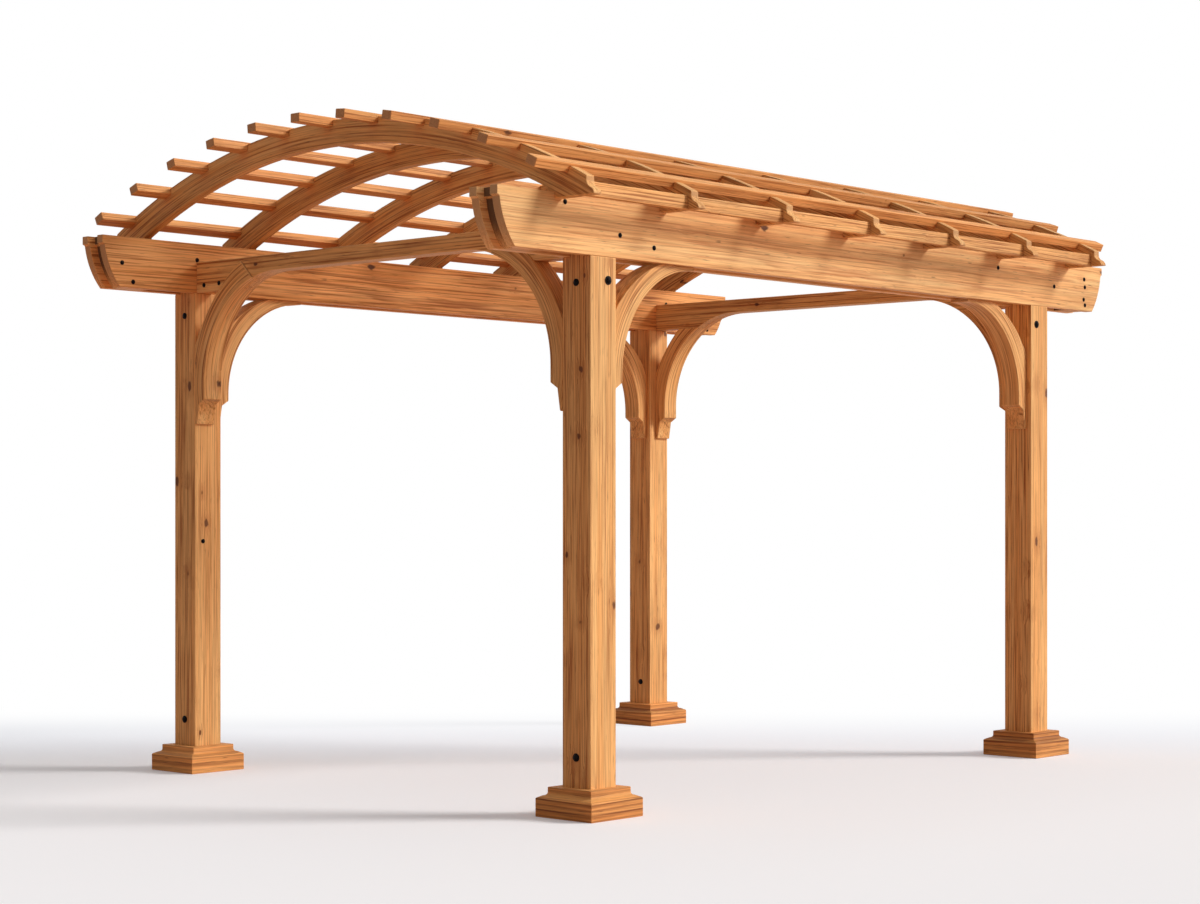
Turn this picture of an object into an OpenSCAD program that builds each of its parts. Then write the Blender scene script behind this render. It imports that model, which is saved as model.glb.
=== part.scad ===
// Timber pergola: four posts, two twin-plank beams, gable ties, curved braces
// and a barrel roof of arched rafters with purlins let into their backs.
// X runs along the beams, Y across the arches and Z up from the ground.
// The origin is at ground level, midway between the four posts.

/* [Posts] */
// Side of the square posts
post_w = 150; // [130:5:170]
// Distance between post centres along the beams
bay_length = 3150; // [2900:10:3400]
// Distance between post centres across the arches
bay_width = 2460; // [2300:10:2600]
// Height from the ground to the underside of the beams
beam_z = 2190; // [2050:5:2350]
// How far the post's tongue stops below the top of the beam planks
tongue_drop = 30; // [10:5:80]

/* [Bases] */
// Width of the base trim's lower tier
base_w = 300; // [270:5:330]
// Height of the lower tier's upright face
base_h = 74; // [60:1:100]
// Fall of the lower tier's weathered top
base_fall = 10; // [4:1:16]
// Width of the upper tier
cap_w = 232; // [210:2:240]
// Height of the upper tier, cove included
cap_h = 33; // [26:1:45]
// Radius of the cove under the upper tier
cap_cove = 13; // [8:1:14]

/* [Beams] */
// Depth of the beam planks
beam_h = 225; // [205:5:245]
// Thickness of a beam plank
plank_t = 40; // [32:1:48]
// How far the beams run past the post centres
beam_overhang = 585; // [500:5:650]
// Height of the upright nose at a beam's end
nose_h = 36; // [26:1:60]
// Radius of the cove under the nose
nose_cove = 13; // [8:1:24]
// How far the bottom of the beam's end is set back from the nose
end_setback = 95; // [70:1:120]
// Radius of the sweep between the cove and the bottom
end_sweep_r = 350; // [250:10:600]
// Length of the spacer block between the planks at a beam's end
spacer_len = 240; // [120:5:300]
// How far the spacer block stands back from the planks' ends
spacer_recess = 38; // [20:1:60]

/* [Gable ties] */
// Thickness of a tie
tie_t = 90; // [80:1:98]
// Depth of a tie at its ends
tie_h = 140; // [120:2:160]
// How far the tie's face stands behind the posts' gable face
tie_set = 8; // [2:1:14]
// Height of the arched relief under the tie
tie_relief = 70; // [50:2:80]

/* [Braces] */
// Thickness of a brace
brace_t = 100; // [90:1:110]
// Width of a brace at its foot
foot_w = 66; // [50:1:80]
// Depth of the brace's foot below the beam
foot_drop = 487; // [480:1:540]
// Chamfer under the foot
foot_chamfer = 24; // [10:1:36]
// Length of the thin tail under the foot
tail_len = 90; // [50:5:140]
// Thickness of the tail at its root
tail_w = 28; // [18:1:34]
// Thickness of the tail at its tip
tail_tip_w = 14; // [8:1:18]
// How far below the beam a brace's back leaves the post
back_drop = 240; // [200:5:280]
// Bow in the back of a brace
back_bow = 36; // [20:1:50]
// Radius of a gable brace's inner sweep
gable_sweep_r = 490; // [460:5:520]
// Distance from the post to the head of a gable brace's back
gable_head = 322; // [280:2:350]
// How far the head stops below the top of the tie
head_drop = 16; // [8:1:30]
// Length of the cut across the head of a gable brace
head_cut = 112; // [90:2:130]
// Thickness of the brace's lap over the tie
lap_t = 38; // [25:1:50]
// Radius of a side brace's inner sweep
side_sweep_r = 440; // [410:5:465]
// Distance from the post to where a side brace's back meets the beam
side_head = 300; // [260:2:340]
// Thickness left at the toe of a side brace
side_toe = 14; // [8:1:24]
// Clearance round a housed joint
housing_gap = 0.5; // [0.2:0.1:1]

/* [Arched rafters] */
// Thickness of an arch
arch_t = 45; // [36:1:55]
// Depth of an arch at its crown
arch_h = 106; // [90:1:130]
// Rise of the arch's underside above the beams
arch_rise = 307; // [280:1:335]
// Radius of the arch's back
arch_back_r = 3160; // [3000:20:3300]
// Distance from the beams' ends to the end arches
arch_setback = 330; // [250:5:400]
// Length of the level seat on the outer plank
arch_seat = 38; // [20:1:40]
// Height of the arch's foot at the inner end of its seat
seat_h = 20; // [10:1:35]
// Depth of the heel behind the outer plank
heel_drop = 24; // [14:1:34]
// How far the tail runs past the beam
tail_out = 205; // [170:5:230]
// Radius of both curves of the tail's nose
tail_nose_r = 30; // [29:1:36]
// Height of the tail's nose
tail_nose_h = 56; // [46:1:58]

/* [Purlins and eave boards] */
// Width of a purlin
purlin_w = 55; // [40:1:80]
// Thickness of a purlin
purlin_h = 38; // [34:1:50]
// Depth of a purlin's notch in the arch
purlin_housing = 28; // [18:1:32]
// How far the purlins run past the end arches
purlin_overhang = 205; // [120:5:230]
// Distance from the outermost notch to the tail's nose
eave_margin = 96; // [70:1:120]
// Thickness of the eave boards
eave_t = 30; // [22:1:36]
// Height of the eave boards
eave_h = 56; // [44:1:60]
// How far the eave boards stand behind the tips of the tails
eave_set = 58; // [50:1:80]
// Depth of the eave boards' stopped housings in the end arches
eave_stop = 22; // [12:1:30]

/* [Hidden] */
$fn = 180;
arch_fn = 1080;
arch_count = 7;
purlin_count = 11;
margin = 50;

// Levels and faces that several pieces share
cap_z = base_h + base_fall;
base_top = cap_z + cap_h;
beam_top = beam_z + beam_h;
plank_gap = post_w - 2 * plank_t;
beam_half = bay_length / 2 + beam_overhang;
sweep_h = beam_h - nose_h - nose_cove;
gable_x = bay_length / 2 + post_w / 2;
side_inner_x = bay_length / 2 - post_w / 2;
inner_y = bay_width / 2 - post_w / 2;
outer_y = bay_width / 2 + post_w / 2;

// Gable tie and its braces
tie_top = beam_z + tie_h;
tie_under = beam_z + tie_relief;
tie_face_x = gable_x - tie_set;
lap_x = gable_x - lap_t;
foot_z = beam_z - foot_drop;
back_z = beam_z - back_drop;
gable_center = [foot_w + gable_sweep_r, tie_under - gable_sweep_r];
head_point = [gable_head, tie_top - head_drop];
toe_point = head_point + head_cut * [cos(45), -sin(45)];

// Side braces
side_center = [foot_w + side_sweep_r, beam_z - side_toe - side_sweep_r];
side_head_point = [side_head, beam_z];
side_toe_point = [side_center[0], beam_z];

// Arches: the underside springs from the top of each foot's inner face
seat_y = outer_y - arch_seat;
soffit_rise = arch_rise - seat_h;
soffit_r = (seat_y * seat_y + soffit_rise * soffit_rise) / (2 * soffit_rise);
crown_z = beam_top + arch_rise;
soffit_center_z = crown_z - soffit_r;
back_center_z = crown_z + arch_h - arch_back_r;
arch_end = beam_half - arch_setback;
arch_pitch = 2 * arch_end / (arch_count - 1);
tail_z = beam_top - heel_drop;
tip_y = outer_y + tail_out;
nose_angle = asin(tail_nose_h / (2 * tail_nose_r));
nose_run = 2 * tail_nose_r * (1 - cos(nose_angle));
nose_y = tip_y - nose_run;

// Purlins: evenly spread between the two outermost notches
notch_half = (purlin_w / 2 + eave_margin) / arch_back_r * 180 / PI;
purlin_reach = asin(nose_y / arch_back_r) - notch_half;
purlin_step = 2 * purlin_reach / (purlin_count - 1);
purlin_half = arch_end + purlin_overhang;
purlin_seat_r = arch_back_r - purlin_housing;

// Eave boards: level with the tails' undersides, stopped in the end arches
eave_y = tip_y - eave_set - eave_t;
eave_half = arch_end - arch_t / 2 + eave_stop;

timber = [0.78, 0.48, 0.24];
timber_dark = [0.66, 0.38, 0.18];
timber_light = [0.84, 0.56, 0.30];

// Radius of the arc from p to q that stands off its chord by the given bow
function bow_radius(p, q, bow) = (norm(q - p) * norm(q - p) / 4 + bow * bow) / (2 * bow);

// Centre of the arc of radius r from p to q, to the left of the chord
function arc_center(p, q, r) =
    let (run = (q - p) / norm(q - p), left = [-run[1], run[0]])
    (p + q) / 2 + left * sqrt(r * r - norm(q - p) * norm(q - p) / 4);

// Lean of a purlin from upright, counted from the left eave
function purlin_angle(i) = purlin_reach - (i - 1) * purlin_step;

// Lays a drawing in the YZ plane and thickens it from x0 to x1
module across(x0, x1) {
    translate([x0, 0, 0])
        rotate([90, 0, 90])
            linear_extrude(x1 - x0)
                children();
}

// Lays a drawing in the XZ plane and thickens it from y0 to y1
module along(y0, y1) {
    translate([0, y1, 0])
        rotate([90, 0, 0])
            linear_extrude(y1 - y0)
                children();
}

// Post with its shoulders under the planks and a tongue between them
module post(end, side) {
    color(timber)
        translate([end * bay_length / 2, side * bay_width / 2, 0]) {
            translate([-post_w / 2, -post_w / 2, 0])
                cube([post_w, post_w, beam_z]);
            translate([-post_w / 2, -plank_gap / 2, 0])
                cube([post_w, plank_gap, beam_top - tongue_drop]);
        }
}

// Section of the base trim: a plinth with a weathered top under a coved cap
module base_section() {
    polygon([
        [-base_w / 2, 0],
        [base_w / 2, 0],
        [base_w / 2, base_h],
        [cap_w / 2 + cap_cove, cap_z],
        [-cap_w / 2 - cap_cove, cap_z],
        [-base_w / 2, base_h]
    ]);
    translate([-cap_w / 2, 0])
        square([cap_w, base_top]);
    difference() {
        translate([-cap_w / 2 - cap_cove, 0])
            square([cap_w + 2 * cap_cove, cap_z + cap_cove]);
        for (s = [-1, 1])
            translate([s * (cap_w / 2 + cap_cove), cap_z + cap_cove])
                circle(cap_cove);
    }
}

// Mitred trim that boxes in the foot of a post
module base(end, side) {
    color(timber_dark)
        translate([end * bay_length / 2, side * bay_width / 2, 0])
            difference() {
                intersection() {
                    across(-base_w / 2, base_w / 2) base_section();
                    along(-base_w / 2, base_w / 2) base_section();
                }
                translate([-post_w / 2, -post_w / 2, -margin])
                    cube([post_w, post_w, base_top + 2 * margin]);
            }
}

// One end of a plank: an upright nose, a cove under it and a bellied sweep to the bottom
module plank_end(tip) {
    cove_point = [tip - nose_cove, beam_z + sweep_h];
    bottom_point = [tip - end_setback, beam_z];
    difference() {
        translate([bottom_point[0] - margin, cove_point[1]])
            square([end_setback + margin, beam_h - sweep_h]);
        translate([tip, cove_point[1]])
            circle(nose_cove);
    }
    intersection() {
        translate(arc_center(bottom_point, cove_point, end_sweep_r))
            circle(end_sweep_r);
        translate([bottom_point[0] - margin, beam_z])
            square([end_setback + margin, sweep_h]);
    }
}

// Side view of a beam plank
module plank_outline(half) {
    translate([-half + end_setback, beam_z])
        square([2 * (half - end_setback), beam_h]);
    plank_end(half);
    mirror([1, 0])
        plank_end(half);
}

// Plank of a twin beam, from face y0 to face y1
module beam_plank(y0, y1) {
    color(timber)
        along(y0, y1)
            plank_outline(beam_half);
}

// Blocks that close the gap between the planks at both ends of a beam
module beam_spacers(side) {
    tip = beam_half - spacer_recess;
    color(timber_dark)
        along(side * bay_width / 2 - plank_gap / 2, side * bay_width / 2 + plank_gap / 2)
            intersection() {
                plank_outline(tip);
                for (s = [0, 1])
                    mirror([s, 0])
                        translate([tip - spacer_len, beam_z])
                            square([spacer_len, beam_h]);
            }
}

// Side view of a tie, seen along X, with the relief that carries on the braces' sweep
module tie_outline() {
    difference() {
        translate([-inner_y, beam_z])
            square([2 * inner_y, tie_h]);
        translate([-inner_y + gable_center[0], beam_z - margin])
            square([2 * (inner_y - gable_center[0]), tie_relief + margin]);
        for (s = [-1, 1])
            translate([s * (inner_y - gable_center[0]), gable_center[1]])
                circle(gable_sweep_r);
    }
}

// Side view of a brace: distance from the post across, height up
module brace_outline(center, sweep_r, head, toe, grow = 0) {
    back_foot = [0, back_z];
    back_r = bow_radius(back_foot, head, back_bow);
    difference() {
        intersection() {
            polygon([
                [0, foot_z - foot_chamfer - tail_len],
                [tail_tip_w, foot_z - foot_chamfer - tail_len],
                [tail_w, foot_z - foot_chamfer],
                [foot_w, foot_z],
                [foot_w, center[1]],
                [toe[0] + grow, center[1]],
                [toe[0] + grow, toe[1] + grow],
                [head[0] + grow, head[1] + grow],
                [0, head[1] + grow]
            ]);
            translate(arc_center(head, back_foot, back_r))
                circle(back_r + grow);
        }
        translate(center)
            circle(sweep_r);
    }
}

// The gable brace's side view, grown by the clearance for its housing
module gable_brace_outline(grow = 0) {
    brace_outline(gable_center, gable_sweep_r, head_point, toe_point, grow);
}

// Puts a brace's side view on the inner face of the left or the right post
module on_gable_post(side) {
    mirror([side < 0 ? 1 : 0, 0])
        translate([inner_y, 0])
            mirror([1, 0])
                children();
}

// Tie between the inner planks, housed for the laps of two braces
module tie(end) {
    color(timber)
        mirror([end < 0 ? 1 : 0, 0, 0])
            difference() {
                across(tie_face_x - tie_t, tie_face_x)
                    tie_outline();
                across(lap_x, gable_x)
                    for (side = [-1, 1])
                        on_gable_post(side)
                            gable_brace_outline(housing_gap);
            }
}

// Gable brace: full thickness below the tie, and a lap over the tie's face
module gable_brace(end, side) {
    color(timber_light)
        mirror([end < 0 ? 1 : 0, 0, 0])
            difference() {
                across(gable_x - brace_t, gable_x)
                    on_gable_post(side)
                        gable_brace_outline();
                across(gable_x - brace_t - margin, lap_x)
                    tie_outline();
            }
}

// Side brace between a post and the underside of the beam
module side_brace(end, side) {
    color(timber_light)
        mirror([end < 0 ? 1 : 0, 0, 0])
            along(side * bay_width / 2 - brace_t / 2, side * bay_width / 2 + brace_t / 2)
                translate([side_inner_x, 0])
                    mirror([1, 0])
                        brace_outline(side_center, side_sweep_r, side_head_point, side_toe_point);
}

// Curved end of an arch's tail, from the nose's top out to its tip
module tail_nose() {
    translate([nose_y, tail_z + tail_nose_h / 2])
        difference() {
            square([nose_run / 2, tail_nose_h / 2]);
            translate([tail_nose_r, tail_nose_h / 2])
                circle(tail_nose_r);
        }
    intersection() {
        translate([tip_y - tail_nose_r, tail_z])
            circle(tail_nose_r);
        translate([nose_y, tail_z])
            square([nose_run, tail_nose_h / 2]);
    }
}

// Front view of an arch: a bow cut level at the tails, with feet on the beams and purlin notches
module arch_outline() {
    difference() {
        intersection() {
            translate([0, back_center_z])
                circle(arch_back_r, $fn = arch_fn);
            union() {
                translate([-nose_y, tail_z])
                    square([2 * nose_y, arch_back_r]);
                for (s = [0, 1])
                    mirror([s, 0])
                        tail_nose();
            }
        }
        intersection() {
            translate([0, soffit_center_z])
                circle(soffit_r, $fn = arch_fn);
            translate([-seat_y, 0])
                square([2 * seat_y, crown_z + margin]);
        }
        translate([-outer_y, 0])
            square([2 * outer_y, beam_top]);
        translate([0, back_center_z])
            for (i = [1 : purlin_count])
                rotate(-purlin_angle(i))
                    translate([-purlin_w / 2 - housing_gap, purlin_seat_r])
                        square([purlin_w + 2 * housing_gap, purlin_h + margin]);
    }
}

// Arched rafter, counted from the front gable, housed for both eave boards
module arch(i) {
    x = (i - (arch_count + 1) / 2) * arch_pitch;
    color(timber_light)
        difference() {
            across(x - arch_t / 2, x + arch_t / 2)
                arch_outline();
            for (side = [-1, 1])
                eave_strip(side, housing_gap, margin);
        }
}

// Block along one eave, grown by the clearance and run down below the tails for a housing
module eave_strip(side, grow = 0, drop = 0) {
    mirror([0, side < 0 ? 1 : 0, 0])
        translate([-eave_half - grow, eave_y - grow, tail_z - drop])
            cube([2 * (eave_half + grow), eave_t + 2 * grow, eave_h + drop]);
}

// Board let into the undersides of the tails along one eave
module eave_board(side) {
    color(timber)
        eave_strip(side);
}

// Purlin, counted from the left eave, square to the arch's back
module purlin(i) {
    color(timber)
        translate([0, 0, back_center_z])
            rotate([-purlin_angle(i), 0, 0])
                translate([-purlin_half, -purlin_w / 2, purlin_seat_r])
                    cube([2 * purlin_half, purlin_w, purlin_h]);
}

post(-1, 1);  // front_left_post
post(-1, -1);  // front_right_post
post(1, 1);  // back_left_post
post(1, -1);  // back_right_post
base(-1, 1);  // front_left_base
base(-1, -1);  // front_right_base
base(1, 1);  // back_left_base
base(1, -1);  // back_right_base
beam_plank(outer_y - plank_t, outer_y);  // left_outer_beam
beam_plank(inner_y, inner_y + plank_t);  // left_inner_beam
beam_plank(-inner_y - plank_t, -inner_y);  // right_inner_beam
beam_plank(-outer_y, -outer_y + plank_t);  // right_outer_beam
beam_spacers(1);  // left_beam_spacers
beam_spacers(-1);  // right_beam_spacers
tie(-1);  // front_tie
tie(1);  // back_tie
gable_brace(-1, 1);  // front_left_gable_brace
gable_brace(-1, -1);  // front_right_gable_brace
gable_brace(1, 1);  // back_left_gable_brace
gable_brace(1, -1);  // back_right_gable_brace
side_brace(-1, 1);  // front_left_side_brace
side_brace(-1, -1);  // front_right_side_brace
side_brace(1, 1);  // back_left_side_brace
side_brace(1, -1);  // back_right_side_brace
eave_board(1);  // left_eave_board
eave_board(-1);  // right_eave_board
for (i = [1 : arch_count])
    arch(i);
for (i = [1 : purlin_count])
    purlin(i);
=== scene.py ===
"""Arched-roof timber pergola: eased timbers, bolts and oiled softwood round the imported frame."""
import logging
import math
from dataclasses import dataclass, field
from enum import Enum
from typing import Dict, List, Sequence, Tuple, Union

import bmesh
import bpy
from mathutils import Matrix, Vector


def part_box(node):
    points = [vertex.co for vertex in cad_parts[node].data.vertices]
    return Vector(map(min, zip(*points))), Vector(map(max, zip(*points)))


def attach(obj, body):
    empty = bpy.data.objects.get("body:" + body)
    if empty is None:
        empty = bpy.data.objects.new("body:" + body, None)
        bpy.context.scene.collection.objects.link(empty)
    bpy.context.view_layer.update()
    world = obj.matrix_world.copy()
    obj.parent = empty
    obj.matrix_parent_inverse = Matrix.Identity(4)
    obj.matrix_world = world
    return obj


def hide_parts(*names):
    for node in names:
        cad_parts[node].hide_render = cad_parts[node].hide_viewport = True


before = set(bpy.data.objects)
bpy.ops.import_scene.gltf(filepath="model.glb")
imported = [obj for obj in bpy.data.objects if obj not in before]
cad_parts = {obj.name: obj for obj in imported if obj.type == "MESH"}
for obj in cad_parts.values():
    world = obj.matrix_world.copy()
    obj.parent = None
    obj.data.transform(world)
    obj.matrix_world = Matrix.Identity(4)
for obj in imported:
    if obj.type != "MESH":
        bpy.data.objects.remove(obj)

LOG = logging.getLogger("pergola")
BODY = "root"
CORNERS = tuple(f"{end}_{side}" for end in ("front", "back") for side in ("left", "right"))
BOTH_WAYS = (-1.0, 1.0)
ARCHES = 7
PURLINS = 11
BEAM_EASE = 0.0018
ARRIS_LAYER = "arris"
SHARP_EDGE = math.radians(50.0)
GOLDEN_SHARE = 0.618
EVEN_CHANCE = 0.5

Colour = Tuple[float, float, float]
Point = Tuple[float, float, float]
Pair = Tuple[float, float]
Socket = bpy.types.NodeSocket
Feed = Union[float, Sequence[float], Socket]
Feeds = Dict[Union[int, str], Feed]

WHITE: Colour = (1.0, 1.0, 1.0)


class Grain(Enum):
    """The line that a timber's grain follows."""

    LENGTHWISE = "along the beams"
    CROSSWISE = "along the ties"
    UPRIGHT = "up the posts"
    BENT_ACROSS = "round a centre, seen from the gable"
    BENT_ALONG = "round a centre, seen from the side"
    MITRED = "round the four sides of a post's foot"


class BoltSize(Enum):
    """How large a bolt's head is, next to a full one."""

    SMALL = 0.62
    MIDDLING = 0.88
    FULL = 1.0
    LARGE = 1.08


@dataclass(frozen=True)
class Step:
    """A smooth step: where it begins and ends, and the results before and after it."""

    low: float = 0.0
    high: float = 1.0
    start: float = 0.0
    end: float = 1.0


@dataclass(frozen=True)
class Blotches:
    """Soft noise: blotches to a metre along each axis, and how many finer layers lie over them."""

    stretch: Point
    layers: float = 2.0


class Bench:
    """Lays shader nodes in one tree and joins them up."""

    def __init__(self, tree: bpy.types.NodeTree) -> None:
        """Takes the tree that the nodes go into."""
        self.tree = tree

    def feed(self, node: bpy.types.Node, feeds: Feeds) -> None:
        """Sets or links a node's inputs.

        Args:
            node: The node.
            feeds: What each input takes, a constant or another node's output.
        """
        for key, value in feeds.items():
            if isinstance(value, Socket):
                self.tree.links.new(value, node.inputs[key])
            else:
                node.inputs[key].default_value = value

    def add(self, kind: str, feeds: Feeds, **settings: object) -> bpy.types.Node:
        """Adds one node.

        Args:
            kind: The node's type name.
            feeds: What each input takes, a constant or another node's output.
            settings: Properties of the node.

        Returns:
            The new node.
        """
        node = self.tree.nodes.new(kind)
        for name, value in settings.items():
            setattr(node, name, value)
        self.feed(node, feeds)
        return node

    def math(self, operation: str, *feeds: Feed) -> Socket:
        """One number worked out from others."""
        return self.add("ShaderNodeMath", dict(enumerate(feeds)), operation=operation).outputs[0]

    def vector(self, operation: str, *feeds: Feed) -> Socket:
        """One vector, or a length, worked out from others."""
        node = self.add("ShaderNodeVectorMath", dict(enumerate(feeds)), operation=operation)
        return node.outputs["Value" if operation in ("LENGTH", "DOT_PRODUCT") else "Vector"]

    def split(self, vector: Socket) -> Tuple[Socket, Socket, Socket]:
        """The three parts of a vector."""
        return tuple(self.add("ShaderNodeSeparateXYZ", {0: vector}).outputs)

    def join(self, x: Feed, y: Feed, z: Feed) -> Socket:
        """A vector from three parts."""
        return self.add("ShaderNodeCombineXYZ", {0: x, 1: y, 2: z}).outputs[0]

    def noise(self, place: Socket, blotches: Blotches) -> Socket:
        """Soft noise from 0 to 1.

        Args:
            place: Where on the piece.
            blotches: The noise's stretch and layers.

        Returns:
            The noise's strength.
        """
        spread = self.vector("MULTIPLY", place, blotches.stretch)
        feeds = {"Vector": spread, "Scale": 1.0, "Detail": blotches.layers}
        return self.add("ShaderNodeTexNoise", feeds).outputs[0]

    def ease(self, value: Feed, step: Step) -> Socket:
        """Takes a value over a smooth step.

        Args:
            value: What is stepped on.
            step: The step.

        Returns:
            The stepped value.
        """
        feeds = {
            "Value": value,
            "From Min": step.low,
            "From Max": step.high,
            "To Min": step.start,
            "To Max": step.end,
        }
        return self.add("ShaderNodeMapRange", feeds, interpolation_type="SMOOTHSTEP").outputs[0]

    def mix(self, share: Feed, first: Feed, second: Feed, blend: str = "MIX") -> Socket:
        """One colour over another.

        Args:
            share: How much of the second shows.
            first: The colour beneath.
            second: The colour on top.
            blend: How they are laid together.

        Returns:
            The mixed colour.
        """
        feeds = {
            "Factor_Float": share,
            "A_Color": first if isinstance(first, Socket) else (*first, 1.0),
            "B_Color": second if isinstance(second, Socket) else (*second, 1.0),
        }
        node = self.add("ShaderNodeMix", {}, data_type="RGBA", blend_type=blend)
        places = {socket.identifier: number for number, socket in enumerate(node.inputs)}
        self.feed(node, {places[name]: value for name, value in feeds.items()})
        return next(s for s in node.outputs if s.identifier == "Result_Color")


def new_material(name: str) -> Tuple[bpy.types.Material, Bench, bpy.types.Node]:
    """Starts a node material.

    Args:
        name: The material's name.

    Returns:
        The material, a bench for its nodes and its main shader.
    """
    material = bpy.data.materials.new(name)
    material.use_nodes = True
    tree = material.node_tree
    return material, Bench(tree), tree.nodes["Principled BSDF"]


@dataclass(frozen=True)
class GrainLine:
    """Where one timber's grain runs.

    The centre is the timber's own middle, or the centre that it bends round. The pith is how far the
    heart of the log lies from it, and the start slides the figure along. A face counts as end grain
    from where it crosses the grain squarely enough.
    """

    grain: Grain
    centre: Point
    pith: Pair
    start: float
    radius: float = 0.0
    squareness: Step = Step(0.75, 0.95)

    @property
    def branch(self) -> Pair:
        """The way that knots run: 0 through the depth and 1 through the breadth, at least and at most."""
        if self.grain is Grain.UPRIGHT:
            return 0.0, 1.0
        return (1.0, 1.0) if self.grain in (Grain.BENT_ACROSS, Grain.BENT_ALONG) else (0.0, 0.0)

    def place(self, bench: Bench) -> Tuple[Socket, Socket, Feed]:
        """Measures a point along and across the grain.

        Args:
            bench: Where the nodes go.

        Returns:
            The point as along, depth and breadth from the pith, and how much of the surface is end grain
            and how much a broad sawn face.
        """
        spot = bench.add("ShaderNodeTexCoord", {}).outputs
        x, y, z = bench.split(bench.vector("SUBTRACT", spot["Object"], self.centre))
        turn = bench.split(bench.vector("ABSOLUTE", spot["Normal"]))
        if self.grain is Grain.LENGTHWISE:
            parts, end, broad = (x, y, z), turn[0], turn[1]
        elif self.grain is Grain.CROSSWISE:
            parts, end, broad = (y, x, z), turn[1], turn[0]
        elif self.grain is Grain.UPRIGHT:
            parts, end, broad = (z, x, y), turn[2], turn[0]
        elif self.grain is Grain.MITRED:
            parts, end, broad = (*self.mitred(bench, x, y), z), 0.0, 0.0
        else:
            lean = bench.split(spot["Normal"])
            gable = self.grain is Grain.BENT_ACROSS
            across, breadth, level, broad = (y, x, lean[1], turn[0]) if gable else (x, y, lean[0], turn[1])
            along, depth, end = self.bent(bench, (across, z), (level, lean[2]))
            parts = (along, depth, breadth)
        place = bench.vector("ADD", bench.join(*parts), (self.start, *self.pith))
        return place, bench.ease(end, self.squareness), broad

    def mitred(self, bench: Bench, x: Socket, y: Socket) -> Tuple[Socket, Socket]:
        """Measures a point along whichever of the four sides it lies on.

        Args:
            bench: Where the nodes go.
            x: How far the point lies from the post's middle along the beams.
            y: How far it lies from there along the ties.

        Returns:
            The point's way along its side, and its depth.
        """
        wide = bench.math("GREATER_THAN", bench.math("ABSOLUTE", x), bench.math("ABSOLUTE", y))
        side = bench.math("SUBTRACT", 1.0, wide)
        along = bench.math("ADD", bench.math("MULTIPLY", wide, y), bench.math("MULTIPLY", side, x))
        depth = bench.math("ADD", bench.math("MULTIPLY", wide, x), bench.math("MULTIPLY", side, y))
        return along, depth

    def bent(
        self, bench: Bench, away: Tuple[Socket, Socket], lean: Tuple[Socket, Socket],
    ) -> Tuple[Socket, Socket, Socket]:
        """Measures a point round the centre of a bend.

        Args:
            bench: Where the nodes go.
            away: How far the point lies from the centre, level and upwards.
            lean: How the surface faces, level and upwards.

        Returns:
            The point's way along the bend, its depth, and how squarely the surface crosses the grain.
        """
        across, up = away
        reach = bench.vector("LENGTH", bench.join(across, up, 0.0))
        along = bench.math("MULTIPLY", bench.math("ARCTAN2", across, up), self.radius)
        depth = bench.math("SUBTRACT", reach, self.radius)
        rising = bench.math("MULTIPLY", lean[0], up)
        skew = bench.math("SUBTRACT", rising, bench.math("MULTIPLY", lean[1], across))
        return along, depth, bench.math("DIVIDE", bench.math("ABSOLUTE", skew), reach)


@dataclass(frozen=True)
class Figure:
    """What the wood shows at a point.

    The place is along and across the grain. The rest say how much of the point is end grain, a broad
    sawn face, the halo round a knot, the knot's own blot, late wood and fibre.
    """

    place: Socket
    end: Socket
    broad: Feed
    halo: Socket
    blot: Socket
    late: Socket
    fibre: Socket


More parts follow.
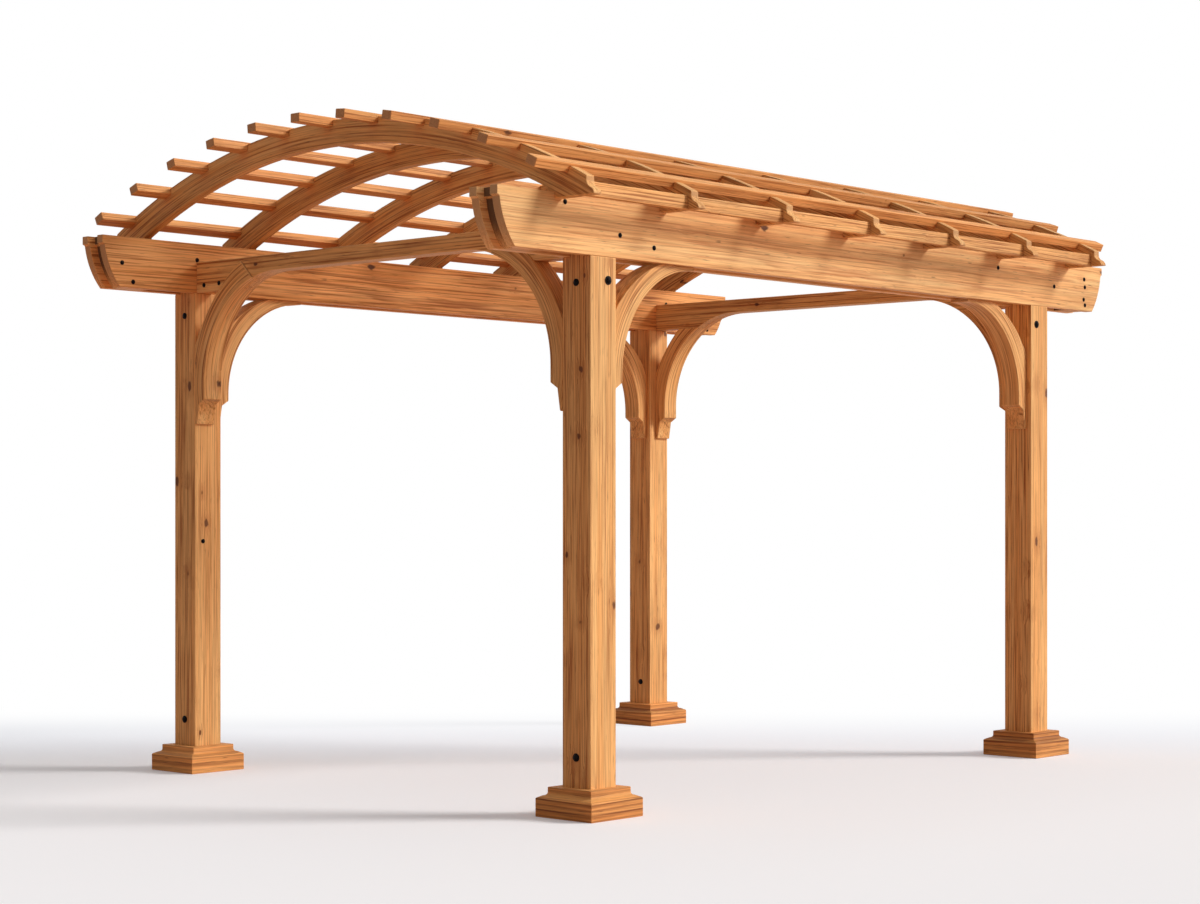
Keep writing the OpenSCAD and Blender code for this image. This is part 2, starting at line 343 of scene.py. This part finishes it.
@dataclass(frozen=True)
class TimberFinish:
    """Oiled softwood, figured by year rings, streaks, fibres and knots.

    A grain is the noise behind a mark, along, through the depth and through the breadth of a timber. A
    step says where the noise begins to tell, and what the mark is then, at least and at most.
    """

    straw: Colour = (0.97, 0.565, 0.215)
    honey: Colour = (0.92, 0.460, 0.150)
    late: Colour = (0.38, 0.115, 0.024)
    knot: Colour = (0.080, 0.022, 0.007)
    cut: Colour = (0.40, 0.23, 0.12)
    cut_share: float = 0.62

    ring: float = 0.0085
    line: float = 0.80
    faint: float = 0.10
    broken: float = 0.22
    wander: float = 0.030
    wander_grain: Blotches = Blotches((0.7, 2.0, 2.0), 1.0)
    ripple: float = 0.005
    ripple_grain: Blotches = Blotches((4.0, 30.0, 30.0))
    swerve: float = 0.010
    summer: Step = Step(0.34, 0.84)
    winter: Step = Step(0.86, 1.0, 1.0, 0.0)
    year_step: Pair = (0.1, 1.0)
    broken_grain: Blotches = Blotches((2.4, 46.0, 46.0))
    broken_step: Pair = (0.36, 0.64)

    streak_grain: Blotches = Blotches((0.5, 28.0, 28.0))
    streak_step: Step = Step(0.32, 0.68)
    strands: float = 0.60
    strand_grain: Blotches = Blotches((2.4, 145.0, 145.0), 3.0)
    strand_step: Pair = (0.44, 0.70)
    strand_broad: float = 0.55
    strand_end: float = 0.7
    fleck_grain: Blotches = Blotches((13.0, 210.0, 210.0), 1.0)
    fleck_step: Step = Step(0.66, 0.80, 0.0, 0.60)
    fibre_grain: Blotches = Blotches((7.0, 330.0, 330.0), 3.0)
    fibre_shade: Step = Step(0.30, 0.72, 0.86, 1.07)
    cloud_grain: Blotches = Blotches((1.3, 5.0, 5.0))
    cloud_shade: Step = Step(0.3, 0.7, -0.09, 0.07)
    worn_step: Step = Step(0.35, 0.65, 0.10, 0.38)

    knots: float = 0.50
    knot_cell: Point = (2.0, 7.5, 7.5)
    knot_slim: float = 0.25
    knot_along: float = 0.55
    knot_least: float = 0.004
    knot_spread: float = 0.010
    ragged: float = 0.5
    ragged_grain: Blotches = Blotches((35.0, 70.0, 70.0))
    halo_step: Step = Step(0.6, 4.0, 1.0, 0.0)
    halo_share: float = 0.35
    blot_step: Step = Step(0.7, 1.15, 1.0, 0.0)
    blot_share: float = 0.94

    roughness: Step = Step(0.25, 0.75, 0.72, 0.50)
    specular: float = 0.18
    bump_strength: float = 0.35
    bump_depth: float = 0.0012
    late_height: float = 0.5
    fibre_height: float = 0.6

    def material(self, name: str, line: GrainLine, tone: float) -> bpy.types.Material:
        """Makes one timber's own material.

        Args:
            name: The material's name.
            line: Where the timber's grain runs.
            tone: How light the timber is, about 1.

        Returns:
            The material.
        """
        material, bench, shader = new_material(name)
        place, end, broad = line.place(bench)
        halo, blot = self.knot_places(bench, place, line.branch)
        late = self.late_wood(bench, place, halo)
        fibre = bench.noise(place, self.fibre_grain)
        ridges = bench.math("MULTIPLY", late, self.late_height)
        height = bench.math("ADD", ridges, bench.math("MULTIPLY", fibre, self.fibre_height))
        relief = {"Strength": self.bump_strength, "Distance": self.bump_depth, "Height": height}
        bench.feed(shader, {
            "Base Color": self.colour(bench, Figure(place, end, broad, halo, blot, late, fibre), tone),
            "Roughness": bench.ease(fibre, self.roughness),
            "Normal": bench.add("ShaderNodeBump", relief).outputs[0],
            "Specular IOR Level": self.specular,
        })
        return material

    def knot_places(self, bench: Bench, place: Socket, branch: Pair) -> Tuple[Socket, Socket]:
        """Scatters knots through the timber.

        Args:
            bench: Where the nodes go.
            place: The point along and across the grain.
            branch: The way that knots run, at least and at most.

        Returns:
            How near the point is to a knot, and how much it is in one.
        """
        cells = bench.vector("MULTIPLY", place, self.knot_cell)
        found = bench.add("ShaderNodeTexVoronoi", {"Vector": cells, "Scale": 1.0}).outputs
        away = bench.vector("SUBTRACT", cells, found["Position"])
        away = bench.vector("DIVIDE", away, self.knot_cell)
        chance, girth, way = bench.split(found["Color"])
        way = bench.ease(bench.math("GREATER_THAN", way, EVEN_CHANCE), Step(start=branch[0], end=branch[1]))
        through = bench.ease(way, Step(start=self.knot_slim, end=1.0))
        sideways = bench.ease(way, Step(start=1.0, end=self.knot_slim))
        squeeze = bench.join(self.knot_along, through, sideways)
        away = bench.vector("LENGTH", bench.vector("MULTIPLY", away, squeeze))
        size = bench.math("MULTIPLY_ADD", girth, self.knot_spread, self.knot_least)
        rag = bench.math("ADD", bench.noise(place, self.ragged_grain), self.ragged)
        share = bench.math("MULTIPLY", bench.math("DIVIDE", away, size), rag)
        kept = bench.math("LESS_THAN", chance, self.knots)
        halo = bench.math("MULTIPLY", bench.ease(share, self.halo_step), kept)
        blot = bench.math("MULTIPLY", bench.ease(share, self.blot_step), kept)
        return halo, blot

    def late_wood(self, bench: Bench, place: Socket, halo: Socket) -> Socket:
        """Lays the year rings round the pith.

        Args:
            bench: Where the nodes go.
            place: The point along and across the grain.
            halo: How near the point is to a knot, which pushes the rings aside.

        Returns:
            How much of the point is late wood, the dark part of a ring.
        """
        _, depth, breadth = bench.split(place)
        reach = bench.vector("LENGTH", bench.join(0.0, depth, breadth))
        reach = bench.math("MULTIPLY_ADD", bench.noise(place, self.wander_grain), self.wander, reach)
        reach = bench.math("MULTIPLY_ADD", bench.noise(place, self.ripple_grain), self.ripple, reach)
        reach = bench.math("MULTIPLY_ADD", halo, self.swerve, reach)
        rings = bench.math("DIVIDE", reach, self.ring)
        number = bench.math("FLOOR", rings)
        year = bench.add("ShaderNodeTexWhiteNoise", {"W": number}, noise_dimensions="1D").outputs["Value"]
        season = bench.math("FRACT", rings)
        late = bench.math("MULTIPLY", bench.ease(season, self.summer), bench.ease(season, self.winter))
        late = bench.math("MULTIPLY", late, bench.ease(year, Step(*self.year_step, self.faint)))
        gaps = bench.noise(place, self.broken_grain)
        return bench.math("MULTIPLY", late, bench.ease(gaps, Step(*self.broken_step, self.broken)))

    def colour(self, bench: Bench, figure: Figure, tone: float) -> Socket:
        """Lays the wood's colours over one another.

        Args:
            bench: Where the nodes go.
            figure: What the wood shows at the point.
            tone: How light the timber is, about 1.

        Returns:
            The colour.
        """
        straw, honey, late = (tuple(tone * part for part in c) for c in (self.straw, self.honey, self.late))
        streak = bench.noise(figure.place, self.streak_grain)
        strand = bench.noise(figure.place, self.strand_grain)
        fleck = bench.noise(figure.place, self.fleck_grain)
        cloud = bench.noise(figure.place, self.cloud_grain)

        colour = bench.mix(bench.ease(streak, self.streak_step), straw, honey)
        colour = bench.mix(bench.math("MULTIPLY", figure.late, self.line), colour, late)
        bold = bench.math("MULTIPLY_ADD", figure.broad, self.strand_broad, 1.0)
        bold = bench.math("SUBTRACT", bold, bench.math("MULTIPLY", figure.end, self.strand_end))
        strands = bench.ease(strand, Step(*self.strand_step, 0.0, self.strands))
        colour = bench.mix(bench.math("MULTIPLY", strands, bold), colour, late)
        colour = bench.mix(bench.ease(fleck, self.fleck_step), colour, self.knot)
        shade = bench.ease(figure.fibre, self.fibre_shade)
        shade = bench.math("ADD", shade, bench.ease(cloud, self.cloud_shade))
        colour = bench.mix(1.0, colour, bench.join(shade, shade, shade), "MULTIPLY")
        colour = bench.mix(bench.math("MULTIPLY", figure.halo, self.halo_share), colour, late)
        colour = bench.mix(bench.math("MULTIPLY", figure.blot, self.blot_share), colour, self.knot)
        colour = bench.mix(bench.math("MULTIPLY", figure.end, self.cut_share), colour, self.cut)
        worn = bench.add("ShaderNodeAttribute", {}, attribute_name=ARRIS_LAYER).outputs["Fac"]
        worn = bench.math("MULTIPLY", worn, bench.ease(cloud, self.worn_step))
        return bench.mix(worn, colour, self.straw)


PLAIN_WOOD = TimberFinish()
POST_WOOD = TimberFinish(
    knot=(0.150, 0.050, 0.016), knots=0.85, knot_cell=(2.6, 11.0, 11.0), knot_slim=0.6,
)
BASE_WOOD = TimberFinish(
    straw=(0.96, 0.46, 0.145), honey=(0.78, 0.32, 0.088), late=(0.17, 0.038, 0.008),
    ring=0.017, line=1.0, faint=0.45, broken=0.55, strands=0.5, knots=0.1,
)
# Painted shade: the left beams get a redder, deeper colour than the right beams, standing in for the warm
# shade under the roof.
LEFT_BEAM_WOOD_PAINTED_SHADE = TimberFinish(straw=(0.94, 0.475, 0.165), honey=(0.86, 0.380, 0.110), knots=0.22)
# Painted light: the right beams are paler and their lines fainter than the other timbers, lifting the shade
# that the eaves cast on them.
RIGHT_BEAM_WOOD_PAINTED_LIGHT = TimberFinish(
    straw=(0.99, 0.615, 0.258), honey=(0.98, 0.535, 0.200), late=(0.58, 0.210, 0.060),
    line=0.60, strands=0.45, knots=0.55,
)
# Partly painted shade: the spacers' end grain is darker, as end grain is, but near-black, standing in for
# the shade in the recess between the beam planks.
SPACER_WOOD_PAINTED_SHADE = TimberFinish(cut=(0.085, 0.045, 0.024), cut_share=0.92)
# Painted shade: the arches are darker and redder than the other timbers, standing in for the shade inside
# the roof.
ARCH_WOOD_PAINTED_SHADE = TimberFinish(straw=(0.96, 0.535, 0.198), honey=(0.90, 0.435, 0.136), knots=0.22)
# Painted shade: the purlins are darker than the other timbers, standing in for the shade on their
# undersides.
PURLIN_WOOD_PAINTED_SHADE = TimberFinish(straw=(0.86, 0.410, 0.135), honey=(0.76, 0.315, 0.090), knots=0.12)
EAVE_WOOD = TimberFinish(straw=(0.95, 0.520, 0.190), honey=(0.88, 0.420, 0.130), knots=0.30)


@dataclass(frozen=True)
class BlackenedSteel:
    """Dull black paint on steel, rubbed in places."""

    name: str = "black_bolts"
    dark: Colour = (0.005, 0.004, 0.004)
    rubbed: Colour = (0.018, 0.014, 0.012)
    scuff_grain: Blotches = Blotches((160.0, 160.0, 160.0), 3.0)
    rub_step: Step = Step(0.48, 0.72)
    roughness: Step = Step(0.3, 0.7, 0.34, 0.58)
    specular: float = 0.05
    bump_strength: float = 0.2
    bump_depth: float = 0.0005

    def material(self) -> bpy.types.Material:
        """Makes the bolts' material.

        Returns:
            The material.
        """
        material, bench, shader = new_material(self.name)
        place = bench.add("ShaderNodeTexCoord", {}).outputs["Object"]
        scuff = bench.noise(place, self.scuff_grain)
        relief = {"Strength": self.bump_strength, "Distance": self.bump_depth, "Height": scuff}
        bench.feed(shader, {
            "Base Color": bench.mix(bench.ease(scuff, self.rub_step), self.dark, self.rubbed),
            "Roughness": bench.ease(scuff, self.roughness),
            "Normal": bench.add("ShaderNodeBump", relief).outputs[0],
            "Specular IOR Level": self.specular,
        })
        return material


def new_piece(name: str, bm: bmesh.types.BMesh) -> bpy.types.Object:
    """Turns a bmesh into a piece that rides on the frame.

    Args:
        name: The piece's name.
        bm: Its mesh, in place, which is freed.

    Returns:
        The new piece.
    """
    mesh = bpy.data.meshes.new(name)
    for face in bm.faces:
        face.smooth = True
    bm.to_mesh(mesh)
    bm.free()
    mesh.set_sharp_from_angle(angle=SHARP_EDGE)
    piece = bpy.data.objects.new(name, mesh)
    bpy.context.scene.collection.objects.link(piece)
    weighted = piece.modifiers.new("even_shading", "WEIGHTED_NORMAL")
    weighted.keep_sharp = True
    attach(piece, BODY)
    return piece


@dataclass
class Timbers:
    """Timbers of one kind, each a copy of its solid with rounded arrises.

    The weld joins points too near each other to round between, and the flat limit joins faces that lie
    in one plane. An arris is a corner that turns by more than its limit. The tone says how light the
    kind is, and is lowered on some kinds as painted shade; its spread says how much the timbers differ.
    """

    names: Tuple[str, ...]
    slot: str
    finish: TimberFinish = PLAIN_WOOD
    ease: float = 0.004
    segments: int = 2
    clamp: bool = True
    weld: float = 0.0007
    flat: float = math.radians(0.05)
    arris: float = math.radians(24.0)
    tone: float = 1.0
    tone_spread: float = 0.13
    pieces: List[bpy.types.Object] = field(default_factory=list)

    def build(self) -> None:
        """Makes an eased copy of every solid."""
        for name in self.names:
            bm = bmesh.new()
            bm.from_mesh(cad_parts[name].data)
            bmesh.ops.remove_doubles(bm, verts=bm.verts, dist=self.weld)
            bmesh.ops.dissolve_limit(bm, angle_limit=self.flat, verts=bm.verts, edges=bm.edges)
            self.round_arrises(bm)
            piece = new_piece(f"{name}_timber", bm)
            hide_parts(name)
            self.pieces.append(piece)

    def round_arrises(self, bm: bmesh.types.BMesh) -> None:
        """Rounds the outward corners and marks them as worn.

        Args:
            bm: The timber's mesh.
        """
        sharp = [e for e in bm.edges if e.is_convex and e.calc_face_angle(0.0) > self.arris]
        worn = bm.loops.layers.float.new(ARRIS_LAYER)
        made = bmesh.ops.bevel(
            bm, geom=sharp, offset=self.ease, offset_type="OFFSET", affect="EDGES",
            segments=self.segments, profile=0.5, material=-1, clamp_overlap=self.clamp,
        )
        for face in made["faces"]:
            for loop in face.loops:
                loop[worn] = 1.0

    def middle(self, name: str) -> Vector:
        """The middle of a solid's box."""
        low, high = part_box(name)
        return (low + high) / 2.0

    def line(self, name: str, number: int) -> GrainLine:
        """Where a timber's grain runs.

        Args:
            name: The solid's name.
            number: Its place in the list, which moves the figure on.

        Returns:
            Its grain line.
        """
        raise NotImplementedError

    def dress(self) -> None:
        """Gives each timber its own figure and tone."""
        for number, (name, piece) in enumerate(zip(self.names, self.pieces)):
            spread = ((number + 1) * GOLDEN_SHARE) % 1.0 - 0.5
            tone = self.tone * (1.0 + self.tone_spread * spread)
            material = self.finish.material(f"{name}_wood", self.line(name, number), tone)
            piece.data.materials.append(material)
            LOG.info("%s: %d faces", piece.name, len(piece.data.polygons))


@dataclass
class StraightTimbers(Timbers):
    """Timbers whose grain runs straight along one axis."""

    grain: Grain = Grain.LENGTHWISE
    pith: Pair = (0.11, 0.06)
    pith_spread: float = 0.3
    pith_kinds: int = 3
    slide: float = 7.3

    def line(self, name: str, number: int) -> GrainLine:
        """Where a straight timber's grain runs, with its pith to one side or the other.

        Args:
            name: The solid's name.
            number: Its place in the list, which moves the figure on.

        Returns:
            Its grain line.
        """
        side = 1.0 if number % 2 else -1.0
        breadth = self.pith[1] * (1.0 + self.pith_spread * (number % self.pith_kinds))
        pith = (self.pith[0] * side, breadth)
        return GrainLine(self.grain, tuple(self.middle(name)), pith, self.slide * (number + 1))


@dataclass
class BentTimbers(Timbers):
    """Timbers whose grain follows a curve round a centre."""

    grain: Grain = Grain.BENT_ACROSS
    turn_x: float = 0.0
    turn_y: float = 0.0
    turn_z: float = 0.0
    radius: float = 1.0
    pith: Pair = (0.13, 0.05)
    slide: float = 5.9

    def line(self, name: str, number: int) -> GrainLine:
        """Where a bent timber's grain runs, on its own side of the pergola.

        Args:
            name: The solid's name.
            number: Its place in the list, which moves the figure on.

        Returns:
            Its grain line.
        """
        middle = self.middle(name)
        if self.grain is Grain.BENT_ACROSS:
            centre = (middle.x, math.copysign(self.turn_y, middle.y), self.turn_z)
        else:
            centre = (math.copysign(self.turn_x, middle.x), middle.y, self.turn_z)
        side = 1.0 if number % 2 else -1.0
        pith = (self.pith[0], self.pith[1] * side)
        return GrainLine(self.grain, centre, pith, self.slide * (number + 1), self.radius)


def timber_groups() -> List[Timbers]:
    """Lists every kind of timber with its finish.

    Returns:
        The kinds, in building order.
    """
    return [
        StraightTimbers(
            tuple(f"{c}_post" for c in CORNERS), "posts", POST_WOOD, ease=0.005, segments=3,
            grain=Grain.UPRIGHT,
        ),
        StraightTimbers(
            tuple(f"{c}_base" for c in CORNERS), "bases", BASE_WOOD, ease=0.003, flat=math.radians(1.0),
            grain=Grain.MITRED, pith=(0.02, 0.16),
        ),
        # Painted shade: the left beams' redder finish stands in for the shade under the roof.
        StraightTimbers(
            ("left_outer_beam", "left_inner_beam"), "beams", LEFT_BEAM_WOOD_PAINTED_SHADE, ease=BEAM_EASE, tone=1.06,
            pith=(0.14, 0.05),
        ),
        # Painted light: the right beams' pale finish lifts the eaves' shadow on their faces.
        StraightTimbers(
            ("right_inner_beam", "right_outer_beam"), "beams", RIGHT_BEAM_WOOD_PAINTED_LIGHT, ease=BEAM_EASE,
            pith=(0.14, 0.05),
        ),
        # Painted shade: the spacers' near-black ends stand in for the shade between the planks.
        StraightTimbers(("left_beam_spacers", "right_beam_spacers"), "spacers", SPACER_WOOD_PAINTED_SHADE, ease=BEAM_EASE),
        # Painted shade: the ties' tone of 0.92 darkens them, standing in for the shade under the roof.
        StraightTimbers(("front_tie", "back_tie"), "ties", tone=0.92, grain=Grain.CROSSWISE),
        # Painted shade: the gable braces' tone of 0.93 darkens them, standing in for the shade under the
        # roof.
        BentTimbers(
            tuple(f"{c}_gable_brace" for c in CORNERS), "braces", clamp=False, tone=0.93,
            turn_y=0.599, turn_z=1.765, radius=0.52,
        ),
        BentTimbers(
            tuple(f"{c}_side_brace" for c in CORNERS), "braces", tone=0.97, grain=Grain.BENT_ALONG,
            turn_x=0.994, turn_z=1.731, radius=0.47,
        ),
        # Painted shade: the tone of 0.86 and the arch finish darken the arches, standing in for the shade
        # inside the roof.
        BentTimbers(
            tuple(f"arch_{i + 1}" for i in range(ARCHES)), "arches", ARCH_WOOD_PAINTED_SHADE, ease=0.003, tone=0.86,
            turn_z=-0.332, radius=3.10,
        ),
        # Painted shade: the purlins' dark finish stands in for the shade under the roof.
        StraightTimbers(
            tuple(f"purlin_{i + 1}" for i in range(PURLINS)), "purlins", PURLIN_WOOD_PAINTED_SHADE, ease=0.003,
            pith=(0.07, 0.09),
        ),
        StraightTimbers(
            ("left_eave_board", "right_eave_board"), "purlins", EAVE_WOOD, ease=0.003, pith=(0.05, 0.10),
        ),
    ]


@dataclass
class Bolts:
    """Black domed bolt heads on washers.

    The places are level and upright distances on the face that a bolt stands on. The faces themselves
    come from the frame.
    """

    washer_r: float = 0.0165
    washer_t: float = 0.003
    rim_ease: float = 0.0006
    head_r: float = 0.0115
    head_h: float = 0.0075
    dome: Tuple[float, ...] = (0.0, 0.3, 0.6, 0.9, 1.2, math.pi / 2)
    sunk: float = 0.0015
    steps: int = 24
    weld: float = 0.00001
    finish: BlackenedSteel = BlackenedSteel()
    top_level: float = 2.088
    foot_level: float = 0.236
    foot_inside: float = 1.222
    flank_place: Pair = (1.548, 2.098)
    lone_place: Pair = (-1.604, 1.054)
    outer_places: Tuple[Pair, ...] = (
        (-1.793, 2.383), (-1.478, 2.280), (-1.275, 2.246), (1.211, 2.349), (1.709, 2.293),
        (1.989, 2.347), (1.996, 2.308), (1.985, 2.246), (1.997, 2.218),
    )
    inner_places: Tuple[Pair, ...] = ((2.055, 2.298), (1.995, 2.216), (1.638, 2.340))
    tie_places: Tuple[Pair, ...] = ((1.099, 2.222), (0.991, 2.225))
    post_low: Vector = field(init=False)
    post_high: Vector = field(init=False)
    beam_outside: float = field(init=False)
    beam_inside: float = field(init=False)
    tie_face: float = field(init=False)

    def __post_init__(self) -> None:
        """Takes the faces of the posts, beams and ties from the frame."""
        self.post_low, self.post_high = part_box("back_left_post")
        self.beam_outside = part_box("left_outer_beam")[1].y
        self.beam_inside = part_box("left_inner_beam")[0].y
        self.tie_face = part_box("back_tie")[1].x

    def head(self, bm: bmesh.types.BMesh, at: Point, facing: Point, size: BoltSize) -> None:
        """Spins one head and sets it against its face.

        Args:
            bm: The mesh that takes the head.
            at: The place on the timber.
            facing: The way that the timber's face looks.
            size: The head's size.
        """
        crown = [(self.head_r * math.sin(a), self.washer_t + self.head_h * math.cos(a)) for a in self.dome]
        rim = [
            (self.washer_r - self.rim_ease, self.washer_t),
            (self.washer_r, self.washer_t - self.rim_ease),
            (self.washer_r, -self.sunk),
        ]
        verts = [bm.verts.new((r, 0.0, z)) for r, z in crown + rim]
        edges = [bm.edges.new(pair) for pair in zip(verts, verts[1:])]
        bmesh.ops.spin(
            bm, geom=verts + edges, cent=(0.0, 0.0, 0.0), axis=(0.0, 0.0, 1.0), dvec=(0.0, 0.0, 0.0),
            angle=2.0 * math.pi, steps=self.steps,
            use_merge=True, use_normal_flip=False, use_duplicate=False,
        )
        turn = Vector((0.0, 0.0, 1.0)).rotation_difference(Vector(facing)).to_matrix().to_4x4()
        place = Matrix.Translation(at) @ turn @ Matrix.Scale(size.value, 4)
        fresh = [v for v in bm.verts if not v.tag]
        bmesh.ops.remove_doubles(bm, verts=fresh, dist=self.weld)
        fresh = [v for v in bm.verts if not v.tag]
        bmesh.ops.transform(bm, matrix=place, verts=fresh)
        for vert in fresh:
            vert.tag = True

    def build(self, name: str, heads: Sequence[Tuple[Point, Point, BoltSize]]) -> None:
        """Makes one piece out of a set of heads.

        Args:
            name: The piece's name.
            heads: Each head's place, facing and size.
        """
        bm = bmesh.new()
        for at, facing, size in heads:
            self.head(bm, at, facing, size)
        bmesh.ops.holes_fill(bm, edges=[e for e in bm.edges if e.is_boundary], sides=0)
        bmesh.ops.recalc_face_normals(bm, faces=bm.faces)
        piece = new_piece(name, bm)
        piece.data.materials.append(bpy.data.materials.get(self.finish.name) or self.finish.material())
        LOG.info("%s: %d heads", name, len(heads))

    def on_posts(self) -> None:
        """Sets the bolts near the top and the foot of each post."""
        x, z = self.lone_place
        heads = [((x, self.post_low.y, z), (0.0, -1.0, 0.0), BoltSize.SMALL)]
        middle = (self.post_low.y + self.post_high.y) / 2.0
        x, z = self.flank_place
        for along in BOTH_WAYS:
            outwards, inwards = (along, 0.0, 0.0), (-along, 0.0, 0.0)
            gable, inside = along * self.post_high.x, along * self.post_low.x
            for side in BOTH_WAYS:
                flank = (along * x, side * self.post_high.y, z)
                heads.append(((gable, side * middle, self.top_level), outwards, BoltSize.MIDDLING))
                heads.append(((gable, side * middle, self.foot_level), outwards, BoltSize.FULL))
                heads.append((flank, (0.0, side, 0.0), BoltSize.LARGE))
            heads.append(((inside, self.foot_inside, self.foot_level), inwards, BoltSize.MIDDLING))
        self.build("post_bolts", heads)

    def on_beams(self) -> None:
        """Sets the bolts through the planks and their spacers."""
        heads = []
        for side in BOTH_WAYS:
            outer, inner = side * self.beam_outside, side * self.beam_inside
            for x, z in self.outer_places:
                heads.append(((-side * x, outer, z), (0.0, side, 0.0), BoltSize.SMALL))
            for along in BOTH_WAYS:
                for x, z in self.inner_places:
                    heads.append(((along * x, inner, z), (0.0, -side, 0.0), BoltSize.SMALL))
        self.build("beam_bolts", heads)

    def on_ties(self) -> None:
        """Sets the bolts in the faces of the ties."""
        heads = []
        for along in BOTH_WAYS:
            for side in BOTH_WAYS:
                for y, z in self.tie_places:
                    heads.append(((along * self.tie_face, side * y, z), (along, 0.0, 0.0), BoltSize.SMALL))
        self.build("tie_bolts", heads)


@dataclass(frozen=True)
class Lamp:
    """A far lamp: the way to it, its light on a face turned to it, and how wide it looks."""

    name: str
    towards: Point
    strength: float
    angle: float

    def hang(self) -> None:
        """Hangs the lamp."""
        data = bpy.data.lights.new(self.name, "SUN")
        data.energy = self.strength
        data.angle = self.angle
        lamp = bpy.data.objects.new(self.name, data)
        lamp.rotation_euler = Vector(self.towards).to_track_quat("Z", "Y").to_euler()
        bpy.context.scene.collection.objects.link(lamp)


@dataclass
class Studio:
    """Camera, soft light and a pale floor.

    The floor fades to white behind the pergola and far from it. Its bounce is the colour that it throws
    back onto the wood, and the haze a little glow that lifts its shadows.
    """

    eye: Point = (-8.444, -7.578, 1.224)
    heading: float = -0.8293
    lens: float = 71.58
    sensor: float = 36.0
    rise: float = 0.0434
    lamps: Tuple[Lamp, ...] = (
        Lamp("key_lamp", (0.590, -0.645, 0.486), 2.52, math.radians(18.0)),
        Lamp("low_lamp", (0.666, -0.727, 0.165), 0.72, math.radians(30.0)),
        Lamp("top_lamp", (0.10, -0.12, 0.99), 0.80, math.radians(80.0)),
    )
    sky: float = 0.18
    floor_half: float = 40.0
    floor_cells: int = 8
    floor_colour: Colour = (1.0, 0.970, 0.965)
    floor_roughness: float = 0.9
    bounce: Colour = (0.60, 0.365, 0.295)
    back_fade: Step = Step(-0.6, 2.9)
    far_fade: Step = Step(4.5, 9.0)
    haze: Colour = (0.82, 0.88, 1.0)
    haze_share: float = 0.06

    def camera(self) -> None:
        """Stands the level camera where the picture was taken."""
        data = bpy.data.cameras.new("camera")
        data.sensor_fit = "HORIZONTAL"
        data.sensor_width = self.sensor
        data.lens = self.lens
        data.shift_y = self.rise
        camera = bpy.data.objects.new("camera", data)
        camera.location = self.eye
        camera.rotation_euler = (math.pi / 2.0, 0.0, self.heading)
        bpy.context.scene.collection.objects.link(camera)
        bpy.context.scene.camera = camera

    def seen(self, bench: Bench) -> Socket:
        """Tells what is looked at from what only lights the rest.

        Args:
            bench: Where the nodes go.

        Returns:
            1 for what the camera, gloss or glass looks at.
        """
        path = bench.add("ShaderNodeLightPath", {}).outputs
        seen = bench.math("MAXIMUM", path["Is Camera Ray"], path["Is Glossy Ray"])
        return bench.math("MAXIMUM", seen, path["Is Transmission Ray"])

    def lights(self) -> None:
        """Hangs two soft lamps at the right and a wide one overhead, and lets a dim room fill the shade."""
        for lamp in self.lamps:
            lamp.hang()
        world = bpy.data.worlds.new("room")
        world.use_nodes = True
        bpy.context.scene.world = world
        bench = Bench(world.node_tree)
        strength = bench.ease(self.seen(bench), Step(start=self.sky, end=1.0))
        bench.feed(world.node_tree.nodes["Background"], {"Color": (*WHITE, 1.0), "Strength": strength})

    def floor(self) -> None:
        """Lays the pale floor."""
        bm = bmesh.new()
        bmesh.ops.create_grid(
            bm, x_segments=self.floor_cells, y_segments=self.floor_cells, size=self.floor_half,
        )
        mesh = bpy.data.meshes.new("floor")
        bm.to_mesh(mesh)
        bm.free()
        floor = bpy.data.objects.new("floor", mesh)
        bpy.context.scene.collection.objects.link(floor)
        mesh.materials.append(self.floor_material())

    def floor_material(self) -> bpy.types.Material:
        """Makes the floor's material.

        Returns:
            The material.
        """
        material, bench, shader = new_material("pale_floor")
        place = bench.add("ShaderNodeTexCoord", {}).outputs["Object"]
        ahead = (-math.sin(self.heading), math.cos(self.heading), 0.0)
        back = bench.ease(bench.vector("DOT_PRODUCT", place, ahead), self.back_fade)
        far = bench.ease(bench.vector("LENGTH", place), self.far_fade)
        fade = bench.math("MAXIMUM", back, far)
        seen = self.seen(bench)
        bench.feed(shader, {
            "Base Color": bench.mix(seen, self.bounce, self.floor_colour),
            "Roughness": self.floor_roughness,
            "Specular IOR Level": 0.0,
        })
        glow = {"Color": bench.mix(fade, self.haze, WHITE), "Strength": 1.0}
        glow = bench.add("ShaderNodeEmission", glow).outputs[0]
        share = bench.math("MULTIPLY", bench.math("MAXIMUM", fade, self.haze_share), seen)
        mixed = bench.add("ShaderNodeMixShader", {0: share, 1: shader.outputs[0], 2: glow})
        bench.feed(bench.tree.nodes["Material Output"], {"Surface": mixed.outputs[0]})
        return material


def main() -> None:
    """Builds every sub-assembly in order."""
    logging.basicConfig(level=logging.INFO, format="%(message)s")
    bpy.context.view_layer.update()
    for group in timber_groups():
        group.build()
        group.dress()
    bolts = Bolts()
    bolts.on_posts()
    bolts.on_beams()
    bolts.on_ties()
    studio = Studio()
    studio.camera()
    studio.lights()
    studio.floor()
    bpy.context.scene.view_settings.view_transform = "Standard"


if __name__ == "__main__":
    main()
